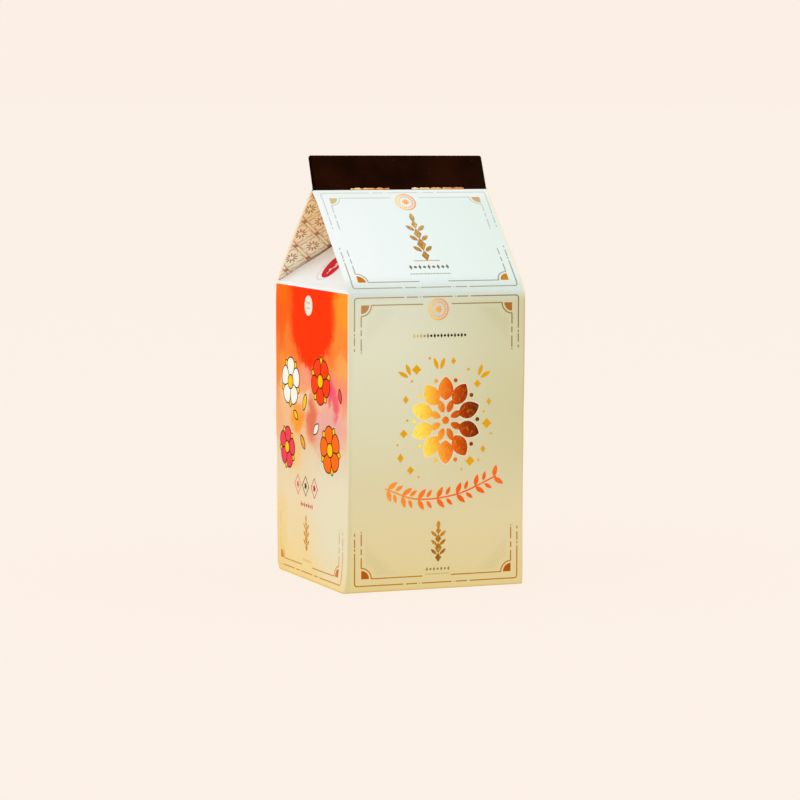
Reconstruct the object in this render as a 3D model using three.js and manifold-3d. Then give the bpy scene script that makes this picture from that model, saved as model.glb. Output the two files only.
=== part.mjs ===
// A shut gable-topped carton of folded paperboard for sweets, as big as a half-litre one.
// Millimetres, Z up. X runs along the ridge, the front faces -Y, the origin is the middle of the underside.
import * as THREE from "three";
import { mergeVertices } from "three/addons/utils/BufferGeometryUtils.js";
import Module from "manifold-3d";

const wasm = await Module();
wasm.setup();

// Driving dimensions
const width = 70; // along the ridge
const depth = 70; // front to back
const bodyHeight = 108.6; // floor to the folds of the roof
const roofRise = 35.85; // folds of the roof to the ridge
const finLength = 13.58; // the sealed strip above the ridge, measured along itself
const finLean = (23.3 * Math.PI) / 180; // it leans back, away from the front
const finThickness = 1.2; // four plies of board
const finCornerRadius = 0.9;
const roofThickness = 1.2; // a roof panel with the wing of the gusset folded under it
const uprightFoldRadius = 1.6; // at half height
const endFoldRadius = 0.4; // where the upright folds meet the floor and the roof
const bottomFoldRadius = 0.6;
const panelBulge = 0.5; // the filled body's panels belly out this far
const backRoofBulge = 1.65; // the back roof panel's belly, measured level
const gussetSag = 2.6; // the gusset's middle is pushed in this far, measured level
const backLean = 2.3; // the filled body's back stands out this far, from backLeanLevel up
const backLeanLevel = 55;
const topSwell = 0.36; // each side of the body's top is wider by this
const roofSwell = 0.8; // each end of the roof is wider by this

// How finely the curves are cut
const panelSteps = 6;
const cornerSteps = 3;
const bodyLevels = 10;
const roofLevels = 12;

// The roof's outer faces, as the place in y at a share t of the rise
const roofSlope = Math.atan2(roofRise, depth / 2);
const levelThickness = roofThickness / Math.sin(roofSlope);
const backCrease = [
  finThickness * Math.cos(finLean),
  bodyHeight + roofRise - finThickness * Math.sin(finLean),
];
const frontRoofY = (t) => (-depth / 2) * (1 - t);
const backRoofY = (t) =>
  (depth / 2) * (1 - t) + backCrease[0] * t + backRoofBulge * Math.sin(Math.PI * t ** 0.8);
const backRoofZ = (t) => bodyHeight + (backCrease[1] - bodyHeight) * t;

// Goes from 0 at low to 1 at high, with a soft start and end
const eased = (value, low, high) => THREE.MathUtils.smoothstep(value, low, high);

// Moves a point of the straight-sided carton to where the filled one's is
function filled(x, y, z) {
  const ridge = bodyHeight + roofRise;
  const roofLeft = 1 - THREE.MathUtils.clamp((z - bodyHeight) / roofRise, 0, 1);
  const lean = backLean * Math.sin((Math.PI / 2) * Math.min(z / backLeanLevel, 1)) * roofLeft;
  const swell =
    topSwell * eased(z, 45, 85) +
    (roofSwell - topSwell) * eased(z, bodyHeight, bodyHeight + 5) -
    roofSwell * eased(z, ridge - 2.5, ridge + 0.5);
  const outwards = (2 * x) / width; // 1 at the right fold, -1 at the left
  return [x + swell * outwards ** 5, y + lean * (y / depth + 0.5), z];
}

// One level outline of the body: a square with round corners and bellied sides
function outline({ z, halfX, frontY, backY, radius, bulge }) {
  const halfY = (backY - frontY) / 2;
  const middleY = (backY + frontY) / 2;
  const points = [];
  for (let side = 0; side < 4; side++) {
    const turn = (side * Math.PI) / 2;
    const [out, along] = side % 2 ? [halfX, halfY] : [halfY, halfX];
    for (let i = 0; i <= panelSteps; i++) {
      const u = -1 + (2 * i) / panelSteps;
      const belly = bulge * Math.cos((u * Math.PI) / 2);
      points.push([turn, u * (along - radius), out + belly]);
    }
    for (let i = 1; i < cornerSteps; i++) {
      const angle = ((i / cornerSteps) * Math.PI) / 2;
      const s = along - radius + radius * Math.sin(angle);
      points.push([turn, s, out - radius + radius * Math.cos(angle)]);
    }
  }
  // Each point is turned from its own side's frame, where the side faces -Y, to the body's.
  return points.map(([turn, s, out]) => [
    s * Math.cos(turn) + out * Math.sin(turn),
    middleY + s * Math.sin(turn) - out * Math.cos(turn),
    z,
  ]);
}

// A closed mesh through outlines with as many points each, from the lowest up
function loft(outlines) {
  const count = outlines[0].length;
  const index = [];
  for (let level = 0; level < outlines.length - 1; level++) {
    for (let i = 0; i < count; i++) {
      const a = level * count + i;
      const b = level * count + ((i + 1) % count);
      index.push(a, b, b + count, a, b + count, a + count);
    }
  }
  const top = (outlines.length - 1) * count;
  for (let i = 1; i < count - 1; i++) {
    index.push(0, i + 1, i, top, top + i, top + i + 1);
  }
  const positions = new Float32Array(outlines.flat(2));
  return new THREE.BufferGeometry()
    .setAttribute("position", new THREE.BufferAttribute(positions, 3))
    .setIndex(index);
}

// The filled body, with the two gussets that slope in under the roof from its sides
function bodyAndGussets() {
  const outlines = [];
  const square = { halfX: width / 2, frontY: -depth / 2, backY: depth / 2 };
  for (let i = 0; i <= 2; i++) {
    const angle = ((i / 2) * Math.PI) / 2;
    const inset = bottomFoldRadius * (1 - Math.sin(angle));
    outlines.push(
      outline({
        z: bottomFoldRadius * (1 - Math.cos(angle)),
        halfX: square.halfX - inset,
        frontY: square.frontY + inset,
        backY: square.backY - inset,
        radius: endFoldRadius,
        bulge: 0,
      }),
    );
  }
  for (let i = 1; i <= bodyLevels; i++) {
    const share = i / bodyLevels;
    const fullness = Math.sin(share * Math.PI);
    outlines.push(
      outline({
        ...square,
        z: bottomFoldRadius + (bodyHeight - bottomFoldRadius) * share,
        radius: endFoldRadius + (uprightFoldRadius - endFoldRadius) * fullness,
        bulge: panelBulge * fullness,
      }),
    );
  }
  const highest = 1 - (2 * levelThickness) / depth; // where the roof's inner faces meet
  for (let i = 1; i <= roofLevels; i++) {
    const t = (highest * i) / roofLevels;
    outlines.push(
      outline({
        z: bodyHeight + roofRise * t,
        halfX: (width / 2) * (1 - t) - gussetSag * Math.sin(Math.PI * t) ** 2,
        frontY: frontRoofY(t) + levelThickness / 2,
        backY: backRoofY(t) - levelThickness / 2,
        radius: endFoldRadius,
        bulge: 0,
      }),
    );
  }
  return loft(outlines);
}

// The two roof panels, drawn end-on and pulled out along the ridge
function roofPanels() {
  const shares = Array.from({ length: roofLevels + 1 }, (_, i) => i / roofLevels);
  const sunk = 0.5; // how far the panels' lower ends reach into the body
  const innerTop = 1 - (2 * levelThickness) / depth;
  const innerShares = shares.map((share) => share * innerTop);
  const profile = [
    [frontRoofY(0), bodyHeight],
    [0, bodyHeight + roofRise],
    ...shares.toReversed().map((t) => [backRoofY(t), backRoofZ(t)]),
    [depth / 2 - sunk, bodyHeight - sunk],
    [depth / 2 - levelThickness, bodyHeight - sunk],
    ...innerShares.map((t) => [backRoofY(t) - levelThickness, backRoofZ(t)]),
    ...[innerTop - 0.01, 0].map((t) => [frontRoofY(t) + levelThickness, bodyHeight + roofRise * t]),
    [-depth / 2 + levelThickness, bodyHeight - sunk],
    [-depth / 2 + sunk, bodyHeight - sunk],
  ];
  const shape = new THREE.Shape(profile.map(([y, z]) => new THREE.Vector2(y, z)));
  // The extrusion's own x, y and z become the part's y, z and x.
  const turned = new THREE.Matrix4().makeBasis(
    new THREE.Vector3(0, 1, 0),
    new THREE.Vector3(0, 0, 1),
    new THREE.Vector3(1, 0, 0),
  );
  return new THREE.ExtrudeGeometry(shape, { depth: width, bevelEnabled: false })
    .translate(0, 0, -width / 2)
    .applyMatrix4(turned);
}

// The fin, drawn from the front with its top corners round, then leaned back about the crease
function fin() {
  const half = width / 2;
  const foot = -1; // it starts this far below the crease, inside the roof
  const r = finCornerRadius;
  const shape = new THREE.Shape()
    .moveTo(-half, foot)
    .lineTo(half, foot)
    .lineTo(half, finLength - r)
    .absarc(half - r, finLength - r, r, 0, Math.PI / 2)
    .lineTo(-half + r, finLength)
    .absarc(-half + r, finLength - r, r, Math.PI / 2, Math.PI);
  return new THREE.ExtrudeGeometry(shape, {
    depth: finThickness,
    bevelEnabled: false,
    curveSegments: 5,
  })
    .translate(0, 0, -finThickness)
    .rotateX(Math.PI / 2 - finLean)
    .translate(0, 0, bodyHeight + roofRise);
}

// A geometry as a solid that can be joined to others
function solid(geometry) {
  const bare = new THREE.BufferGeometry()
    .setAttribute("position", geometry.getAttribute("position"))
    .setIndex(geometry.getIndex());
  const merged = mergeVertices(bare, 1e-4);
  return new wasm.Manifold(
    new wasm.Mesh({
      numProp: 3,
      vertProperties: merged.attributes.position.array,
      triVerts: new Uint32Array(merged.index.array),
    }),
  );
}

// A joined solid, filled out, back as a geometry to draw
function geometryOf(joined) {
  const mesh = joined.getMesh();
  const points = mesh.vertProperties;
  for (let i = 0; i < points.length; i += 3) {
    points.set(filled(points[i], points[i + 1], points[i + 2]), i);
  }
  const geometry = new THREE.BufferGeometry()
    .setAttribute("position", new THREE.BufferAttribute(points, 3))
    .setIndex(new THREE.BufferAttribute(mesh.triVerts, 1))
    .toNonIndexed();
  geometry.computeVertexNormals();
  return geometry;
}

const carton = new THREE.Mesh(
  geometryOf(solid(bodyAndGussets()).add(solid(roofPanels())).add(solid(fin()))),
  new THREE.MeshStandardMaterial({ color: 0xe0dab8, roughness: 0.5, metalness: 0 }),
);
carton.name = "carton";

const model = new THREE.Group();
model.add(carton);

export default model;
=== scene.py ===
import math

import bpy
import numpy as np
from mathutils import Matrix


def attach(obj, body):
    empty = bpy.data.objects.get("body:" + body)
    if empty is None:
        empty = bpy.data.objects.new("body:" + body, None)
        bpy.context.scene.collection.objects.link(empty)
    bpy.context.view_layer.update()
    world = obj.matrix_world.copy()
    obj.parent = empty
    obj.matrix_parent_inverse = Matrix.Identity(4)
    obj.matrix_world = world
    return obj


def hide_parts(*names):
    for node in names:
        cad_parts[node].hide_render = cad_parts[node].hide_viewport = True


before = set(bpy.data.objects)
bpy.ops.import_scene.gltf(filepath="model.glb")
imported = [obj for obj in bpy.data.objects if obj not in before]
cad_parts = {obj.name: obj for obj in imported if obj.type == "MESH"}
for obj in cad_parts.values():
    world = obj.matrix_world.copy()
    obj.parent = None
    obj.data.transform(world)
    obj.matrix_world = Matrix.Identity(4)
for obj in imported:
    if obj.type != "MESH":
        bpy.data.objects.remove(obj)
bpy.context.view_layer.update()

# Sheet places are millimetres on the flat, unfolded board: p runs round the carton, 0 at the middle
# of the front and growing to the right as the front is seen, b runs up from the floor's fold.
carton = {
    "half": 35.0,  # half the width and depth
    "bodyHeight": 108.6,
    "roofRise": 35.85,
    "finLength": 13.58,
    "finLean": math.radians(23.3),
    "finThickness": 1.2,
    "finRound": (0.8, 1.3),  # the fin's top corners, on the left and on the right
    "finTilt": 0.33,  # its left end is taller by this
    "belly": 0.5,  # how far the filled body's panels swell
    "backBelly": 1.65,  # the back roof panel's swelling, measured level
    "backLean": (2.3, 55.0),  # the filled body's back stands out this far, from this level up
    "topSwell": (0.36, 0.18),  # the body's top is wider by these, on the left and on the right
    "topSwellFrom": ((42, 58), (45, 85)),  # between these levels, on the left and on the right
    "roofSwell": 0.8,  # and each end of the roof by this
    "backWave": 0.28,  # the back one's left end swings by this
    "frontEnds": (-0.4, 0.45),  # but the front roof panel's left and right ends by these
    "foot": (2.1, 0.6, 60.0),  # the left side's foot stands out by these, in front and behind, over this depth
    "finSlant": (0.32, 0.2),  # the fin's left end stands in by this, and by so much more at the top
    "sag": 2.6,  # the gusset's middle is pushed in this far
    "board": 0.28,  # thickness of the paperboard
    "wingDrop": 1.0,  # a folded-under wing's printed face lies this far below the roof's
    "innerPlies": (0.585, 0.615),  # the fin's two inner printed faces, from its front
    "tabDrop": 0.32,
    "tabWidth": 12.0,
    "seam": 1.2,  # the back panel's cut edge stops this short of its corner
    "flaps": {-2: 29.6, -1: 34.9, 0: 39.0, 1: 34.9, 2: -0.8},  # lengths under the floor, by panel; the tab ends over it
    "sideFlapRise": 0.32,  # the side flaps lie on the front and back ones
    "softness": 0.75,  # how far a fold is spread over the sheet
    "bodySoftness": 1.0,
    "roofSoftness": 0.8,
    "wave": 0.08,  # the board's slight unevenness
    "pressed": ((-1, 1, 0.6), (1, -1, 0.1), (1, 1, 0.5)),  # the bottom corners, by the signs of x and y
}
half, bodyHeight = carton["half"], carton["bodyHeight"]
slope = math.hypot(half, carton["roofRise"])
ridge = bodyHeight + carton["roofRise"]
creaseB = bodyHeight + slope
topB = creaseB + carton["finLength"]
leanSin, leanCos = math.sin(carton["finLean"]), math.cos(carton["finLean"])


# sRGB numbers of 0 to 255 as the linear colour that shaders take
def tint(*rgb):
    c = np.asarray(rgb if len(rgb) == 3 else rgb[0], float) / 255
    return np.where(c < 0.04045, c / 12.92, ((c + 0.055) / 1.055) ** 2.4)


# A cubic ease from 0 at low to 1 at high
def eased(value, low, high):
    t = np.clip((value - low) / (high - low), 0, 1)
    return t * t * (3 - 2 * t)


# The front roof face in y and z at a share t of the slope: a straight line from the body's fold to the ridge
def frontRoof(t):
    return np.stack([-half * (1 - t), bodyHeight + carton["roofRise"] * t], -1)


# The back roof face: the same line moved by the fin's thickness at its top, plus a sine hump that leans low
def backRoof(t):
    y = half * (1 - t) + carton["finThickness"] * leanCos * t
    y = y + carton["backBelly"] * np.sin(np.pi * np.clip(t, 0, 1) ** 0.8)
    z = bodyHeight + (carton["roofRise"] - carton["finThickness"] * leanSin) * t
    return np.stack([y, z], -1)


# The unit vector into the carton, square to a roof face: the face's own direction over a short step, turned by 90 degrees
def inward(face, t, side):
    step = face(np.minimum(t + 0.02, 1)) - face(np.maximum(t - 0.02, 0))
    step = step / np.linalg.norm(step, axis=-1, keepdims=True)
    return side * np.stack([step[..., 1], -step[..., 0]], -1)


# Small long waves over the sheet, a sum of three sines
def unevenness(p, b):
    return carton["wave"] * (
        np.sin(0.115 * p + 1.3) * np.sin(0.071 * b + 0.4)
        + 0.6 * np.sin(0.21 * p - 0.17 * b + 2.0)
        + 0.4 * np.sin(0.33 * p + 0.29 * b)
    )


# Where sheet places stand with knife-sharp folds. Body: each panel's own (a, out) frame, out being half the
# depth plus a cosine belly, turned by 90 degrees a panel. Roof: lines up to the ridge. Gusset: the middle
# triangle spans the two folded-under wings, whose distance w from the roof's edge runs inward. Fin: plies side by side.
def sharpFold(p, b):
    panel = np.clip(np.floor((p + half) / (2 * half)), -2, 2)
    a = p - 2 * half * panel
    side = np.abs(panel) == 1
    tab = panel == 2
    under = np.maximum(-b, 0)
    a = a * (1 - 0.004 * np.clip(under - 1, 0, None))
    up = np.clip(b / bodyHeight, 0, 1)
    wave = unevenness(p, b)
    out = half + carton["belly"] * np.cos(np.clip(a / half, -1, 1) * np.pi / 2) * np.sin(np.pi * up)
    out = out + wave * np.sin(np.pi * up) ** 0.5 - under - np.where(tab, carton["tabDrop"], 0)
    turn = panel * np.pi / 2
    level = np.maximum(b, 0) + np.where(side, carton["sideFlapRise"] * eased(under, 0.5, 5), 0)
    body = np.stack([a * np.cos(turn) + out * np.sin(turn), a * np.sin(turn) - out * np.cos(turn), level], -1)

    s = b - bodyHeight
    t = np.clip(s / slope, 0, 1)
    fin = np.maximum(s - slope, 0)[..., None] * np.array([leanSin, leanCos])
    low = eased(s, 0, 4)[..., None]
    high = eased(s, slope - 4, slope)[..., None]
    across = np.array([leanCos, -leanSin])
    ripple = (wave * np.sin(np.pi * t))[..., None]
    front, back = frontRoof(t), backRoof(t)
    frontIn, backIn = inward(frontRoof, t, 1), inward(backRoof, t, -1)
    front = front - ripple * frontIn
    back = back - ripple * backIn
    tabBack = back + carton["tabDrop"] * backIn
    toFront, toBack = carton["innerPlies"]
    frontWing = front + low * (carton["wingDrop"] * (1 - high) * frontIn + toFront * high * across)
    backWing = back + low * (carton["wingDrop"] * (1 - high) * backIn - (carton["finThickness"] - toBack) * high * across)
    stretch = 0.3 * eased(s, 0, 3)
    push = carton["sag"] * np.sin(np.pi * t) ** 2
    safeT = np.maximum(t, 1e-3)
    forward = -panel * a  # across a side panel, growing to the front
    w = half - np.abs(forward)
    triangle = np.maximum(half * (1 - t), 1e-6)
    wingX = half + stretch - w * (half * safeT + push) / (half * safeT)
    middle = np.abs(forward) < triangle
    share = np.clip(forward / triangle, -1, 1)[..., None] / 2 + 0.5
    spanned = backWing * (1 - share) + frontWing * share
    wing = np.where((forward > 0)[..., None], frontWing, backWing)
    gussetX = panel * np.where(middle, half * (1 - t) - push, wingX)
    gussetYZ = np.where(middle[..., None], spanned, wing)
    flatX = np.where(panel == 0, a, -a) * (1 + stretch / half)
    flatYZ = np.where((panel == 0)[..., None], front, np.where(tab[..., None], tabBack, back))
    x = np.where(side, gussetX, flatX)
    yz = np.where(side[..., None], gussetYZ, flatYZ) + fin
    roof = np.concatenate([x[..., None], yz], -1)
    return np.where((s > 0)[..., None], roof, body)


# How far round a place its fold is averaged: more at half height, and softest where the roof starts
def foldReach(b):
    up = np.clip(b / bodyHeight, 0, 1)
    reach = carton["softness"] + carton["bodySoftness"] * np.sin(np.pi * up)
    return reach + carton["roofSoftness"] * np.exp(-(((b - bodyHeight) / 4) ** 2)) - 0.2 * (b < 0)


# The straight-sided carton's points moved to the filled one's: y grows towards the back by a lean that rises as
# a sine and fades over the roof, x by the swellings times its fifth power (the foot: its 31st), z by the fin's tilt
def filled(points):
    x, y, z = points[..., 0], points[..., 1], points[..., 2]
    depth, reach = carton["backLean"]
    lean = depth * np.sin(np.pi / 2 * np.clip(z / reach, 0, 1)) * (1 - np.clip((z - bodyHeight) / carton["roofRise"], 0, 1))
    upFin = np.clip((z - ridge) / (carton["finLength"] * leanCos), 0, 1)
    left, right = (eased(z, *levels) for levels in carton["topSwellFrom"])
    behind = eased(y, -4, 4)
    topLeft, topRight = carton["topSwell"]
    top = np.where(x < 0, topLeft * left * (0.6 + 0.4 * behind), topRight * right)
    roof = np.where(x < 0, *carton["frontEnds"])
    wave = -carton["backWave"] * np.sin(1.37 * np.pi * np.clip((z - bodyHeight) / carton["roofRise"], 0, 1)) * (x < 0)
    roof = roof + (carton["roofSwell"] + wave - roof) * behind
    front, back, deep = carton["foot"]
    foot = back + (front - back) * np.clip(1 - (y + half) / deep, 0, 1)
    foot = foot * (0.82 * np.exp(-np.maximum(z, 0) / 4) + 0.18 * np.exp(-np.maximum(z, 0) / 30))
    swell = top + (roof - top) * eased(z, bodyHeight, bodyHeight + 5)
    inset, more = carton["finSlant"]
    swell = swell * (1 - eased(z, ridge - 1.0, ridge + 0.6)) - (x < 0) * (inset * eased(z, ridge - 0.5, ridge + 0.5) + more * upFin)
    outward = x / half
    moved = x + swell * outward**5 - (x < 0) * foot * np.clip(-outward, 0, 1) ** 31
    return np.stack([moved, y + lean * (y + half) / (2 * half), z + carton["finTilt"] * (half - x) / (2 * half) * upFin], -1)


# The folded sheet: the mean of the sharp folds over a small square of the board, weighted like a tent.
# The bottom corners are then pressed in a little, falling off with distance as a bell.
def softFold(places):
    p, b = places[..., 0], places[..., 1]
    reach = foldReach(b)
    offsets = np.linspace(-0.84, 0.84, 7)
    weights = 1 - np.abs(offsets)
    weights = weights / weights.sum()
    total = 0
    for dp, wp in zip(offsets, weights):
        for db, wb in zip(offsets, weights):
            total = total + wp * wb * sharpFold(p + reach * dp, b + reach * db)
    total = filled(total)
    for sx, sy, press in carton["pressed"]:
        corner = np.array([sx * half, sy * half, 0])
        away = np.linalg.norm(total - corner, axis=-1)
        pressed = press * np.exp(-((away / 1.8) ** 2))[..., None]
        total = total + pressed * np.array([-sx, -sy, 0.35])
    return total


# Sheet places with a height over the board, put on the folded carton along its normal, from differences of the fold
def laidOn(places):
    flat, lift = places[..., :2], places[..., 2:]
    step = 0.15
    at = softFold(flat)
    alongP = softFold(flat + [step, 0]) - softFold(flat - [step, 0])
    alongB = softFold(flat + [0, step]) - softFold(flat - [0, step])
    normal = np.cross(alongP, alongB)
    return at + lift * normal / np.linalg.norm(normal, axis=-1, keepdims=True)


# A mesh piece of the carton from points in millimetres and arrays of faces, with the sheet places as its UV map
def makePiece(name, points, faces, sheet, tones=None, sharp=0.7):
    mesh = bpy.data.meshes.new(name)
    mesh.from_pydata((points * 0.001).tolist(), [], [f for group in faces for f in group.tolist()])
    corners = np.empty(len(mesh.loops), int)
    mesh.loops.foreach_get("vertex_index", corners)
    mesh.uv_layers.new(name="Sheet").data.foreach_set("uv", sheet[corners, :2].ravel())
    if tones is not None:
        ink = mesh.color_attributes.new("Ink", "FLOAT_COLOR", "POINT")
        ink.data.foreach_set("color", np.concatenate([tones, np.ones((len(tones), 1))], 1).ravel())
    mesh.shade_smooth()
    if sharp:
        mesh.set_sharp_from_angle(angle=sharp)
    piece = bpy.data.objects.new(name, mesh)
    bpy.context.scene.collection.objects.link(piece)
    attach(piece, "root")
    return piece


# One number inside a material: the operators and methods add Math nodes to its tree
class Term:
    def __init__(self, paint, link):
        self.paint, self.link = paint, link

    def maths(self, operation, *others):
        return self.paint.maths(operation, self, *others)

    def __add__(self, other): return self.maths("ADD", other)
    def __radd__(self, other): return self.maths("ADD", other)
    def __sub__(self, other): return self.maths("SUBTRACT", other)
    def __rsub__(self, other): return self.paint.maths("SUBTRACT", other, self)
    def __mul__(self, other): return self.maths("MULTIPLY", other)
    def __rmul__(self, other): return self.maths("MULTIPLY", other)
    def __truediv__(self, other): return self.maths("DIVIDE", other)
    def __neg__(self): return self.maths("MULTIPLY", -1.0)
    def __mod__(self, other): return self.maths("FLOORED_MODULO", other)
    def __abs__(self): return self.maths("ABSOLUTE")
    def __pow__(self, other): return self.maths("POWER", other)

    def floor(self): return self.maths("FLOOR")
    def root(self): return self.maths("SQRT")
    def sine(self): return self.maths("SINE")
    def over(self, other): return self.maths("GREATER_THAN", other)
    def least(self, other): return self.maths("MINIMUM", other)
    def most(self, other): return self.maths("MAXIMUM", other)

    # A cubic ease from 0 at low to 1 at high
    def ease(self, low, high):
        mapped = self.paint.add("MapRange", {"interpolation_type": "SMOOTHSTEP"}, {0: self, 1: low, 2: high})
        return Term(self.paint, mapped.outputs[0])


# A material being mixed: its tree, its shader, and the ways that nodes are added to it
class Paint:
    def __init__(self, name):
        self.material = bpy.data.materials.new(name)
        self.material.use_nodes = True
        self.tree = self.material.node_tree
        self.shader = self.tree.nodes["Principled BSDF"]

    def feed(self, socket, value):
        value = value.link if isinstance(value, Term) else value
        if isinstance(value, bpy.types.NodeSocket):
            self.tree.links.new(value, socket)
        elif socket.type == "RGBA":
            socket.default_value = (*[float(c) for c in value], 1.0)
        elif socket.type == "VECTOR":
            socket.default_value = [float(c) for c in value]
        else:
            socket.default_value = value

    def add(self, kind, settings=None, values=None):
        made = self.tree.nodes.new("ShaderNode" + kind)
        for key, value in (settings or {}).items():
            if key != "stops":
                setattr(made, key, value)
        for place, colour in (settings or {}).get("stops", []):
            stops = made.color_ramp.elements
            stop = stops[0] if place == 0 else stops[-1] if place == 1 else stops.new(place)
            stop.color = (*[float(c) for c in colour], 1.0)
        for key, value in (values or {}).items():
            self.feed(made.inputs[key], value)
        return made

    def maths(self, operation, *terms):
        made = self.add("Math", {"operation": operation}, dict(enumerate(terms)))
        return Term(self, made.outputs[0])

    def mixed(self, factor, first, second, blend="MIX"):
        made = self.add("Mix", {"data_type": "RGBA", "blend_type": blend}, {0: factor, 6: first, 7: second})
        return made.outputs[2]

    # A colour that runs through stops of (share, colour)
    def ramp(self, share, stops):
        return self.add("ValToRGB", {"stops": stops}, {0: share}).outputs[0]

    # The sheet place under each point, as the vector and its two numbers
    def sheet(self):
        place = self.add("UVMap", {"uv_map": "Sheet"}).outputs[0]
        parts = self.add("SeparateXYZ", None, {0: place}).outputs
        return place, Term(self, parts[0]), Term(self, parts[1])

    def objectPlace(self):
        return self.add("TexCoord").outputs["Object"]

    # Clouds of 0 to 1, so many to the vector's unit
    def noise(self, vector, scale, detail=2.0, seed=0.0, rough=0.5):
        made = self.add("TexNoise", {"noise_dimensions": "4D"},
                        {"Vector": vector, "W": seed, "Scale": scale, "Detail": detail, "Roughness": rough})
        return Term(self, made.outputs["Fac"])

    def cells(self, vector, scale, feature="F1"):
        made = self.add("TexVoronoi", {"feature": feature}, {"Vector": vector, "Scale": scale})
        return made

    def bump(self, height, distance, strength=1.0):
        made = self.add("Bump", None, {"Height": height, "Distance": distance, "Strength": strength})
        return made.outputs[0]

    def finish(self, **sockets):
        names = {"colour": "Base Color", "roughness": "Roughness", "metallic": "Metallic", "coat": "Coat Weight",
                 "normal": "Normal", "coatRoughness": "Coat Roughness", "specular": "Specular IOR Level"}
        for key, value in sockets.items():
            self.feed(self.shader.inputs[names[key]], value)
        return self.material


# The camera, solved from the carton's corners for a picture of 800 by 800 points
viewpoint = {
    "yaw": 0.4015, "pitch": 0.0939, "roll": 0.0054,  # radians
    "focal": 3391.69,  # picture points
    "aim": (0, 0, 54.3),  # mm
    "offset": (-0.196, -11.83, 1266.706),  # mm from the camera to the aim, along its right, up and view
}


# Right, up and view directions from yaw and pitch, then rolled; the camera stands back from the aim by the offset
def placeCamera(v):
    cy, sy, cp, sp = math.cos(v["yaw"]), math.sin(v["yaw"]), math.cos(v["pitch"]), math.sin(v["pitch"])
    ahead = np.array([sy * cp, cy * cp, -sp])
    right = np.array([cy, -sy, 0])
    up = np.cross(right, ahead)
    cr, sr = math.cos(v["roll"]), math.sin(v["roll"])
    right, up = cr * right + sr * up, cr * up - sr * right
    x, y, z = v["offset"]
    place = np.array(v["aim"]) - x * right - y * up - z * ahead
    data = bpy.data.cameras.new("camera")
    data.sensor_width = 36.0
    data.lens = v["focal"] * 36.0 / 800
    data.clip_start, data.clip_end = 0.05, 60
    camera = bpy.data.objects.new("camera", data)
    bpy.context.scene.collection.objects.link(camera)
    turned = Matrix([[right[i], up[i], -ahead[i], place[i] * 0.001] for i in range(3)] + [[0, 0, 0, 1]])
    camera.matrix_world = turned
    bpy.context.scene.camera = camera


placeCamera(viewpoint)
print("camera placed")

# Colours of the board's print, and of the shade and highlights painted on it, as sRGB
boardColours = {
    "frontStops": ((0, (222, 205, 142)), (0.03, (223, 206, 148)), (0.15, (224, 207, 157)), (0.4, (219, 210, 169)),
                   (0.54, (219, 215, 180)), (0.81, (222, 221, 194)), (1, (218, 220, 195))),
    "frontRight": (240, 235, 216),  # what the panel's right side is multiplied by, higher up
    "roofStops": ((0, (235, 238, 234)), (0.45, (228, 236, 230)), (1, (221, 230, 221))),
    "roofLow": (210, 219, 209),
    "roofTop": (231, 236, 230),
    "gusset": (240, 243, 241),
    "tileGround": ((254, 228, 178), (250, 240, 216)),
    "tileLine": (164, 80, 16),
    "tileSoft": (176, 132, 96),
    "foldShade": (96, 56, 22),
    "rim": (228, 190, 104),
    # painted shade where the bottom fold turns under
    "paintedUndersideShade": (190, 142, 84),
    "sideRim": ((242, 196, 92), (214, 150, 70)),
    "foldWhite": (236, 234, 218),
    "foldWarm": ((228, 196, 136), (208, 168, 110)),
    "halftone": (170, 158, 112),
    "sideStops": ((0, (236, 208, 140)), (0.07, (238, 212, 150)), (0.15, (236, 214, 162)), (0.28, (234, 215, 173)), (0.42, (229, 208, 170)),
                  (0.52, (238, 188, 140)), (0.61, (243, 188, 140)), (0.68, (247, 154, 96)), (0.75, (250, 128, 56)), (0.85, (252, 104, 28)), (1, (253, 92, 12))),
    # centre across and up, half width and height, colour, strength: soft blots of the side's wash
    "blots": (
        (32, 103, 9, 13, (254, 154, 40), 0.95),
        (27, 90, 8, 8, (249, 144, 56), 0.8),
        (30, 80, 8, 7, (245, 168, 88), 0.85),
        (-33, 93, 7, 20, (250, 98, 22), 0.75),
        (-29, 107, 7, 6, (255, 112, 8), 0.7),
        (-22, 88, 5, 8, (252, 130, 48), 0.8),
        (-28, 77, 9, 6, (251, 158, 62), 0.6),
        (-34, 76, 6, 14, (242, 134, 50), 0.8),
        (-21, 67, 12, 6, (243, 190, 134), 0.8),
        (-3, 76, 7, 5, (243, 156, 126), 0.8),
        (-5, 66, 9, 4, (243, 208, 180), 0.75),
        (26, 74, 11, 5, (243, 140, 112), 0.7),
        (19, 58, 18, 8.5, (234, 168, 160), 0.9),
        (19.5, 71, 4.0, 5.0, (238, 70, 112), 0.9),
        (24.5, 67, 3.6, 5.0, (240, 78, 108), 0.9),
        (33, 68, 5, 6, (238, 138, 122), 0.6),
        (-6, 61, 4, 3.5, (238, 136, 46), 0.6),
        (-11, 60, 7, 6, (250, 152, 12), 0.9),
        (-17, 46, 10, 9, (246, 192, 96), 0.7),
        (-32, 57, 6, 9, (243, 172, 112), 0.65),
        (3, 60, 5, 9, (224, 108, 74), 0.9),
        (22, 46, 16, 4.5, (224, 196, 164), 0.8),
        (8, 51, 5, 3.5, (224, 166, 144), 0.6),
        (24, 26, 26, 26, (227, 221, 192), 0.75),
        (-32, 12, 8, 20, (236, 204, 126), 0.5),
    ),
    "washRed": (253, 54, 2),
    "grain": 0.012,
}
tile = {"across": 5.65, "tall": 6.78, "at": (2.35, 21.45), "side": 8.9, "gap": 0.56, "line": 0.08}


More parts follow.
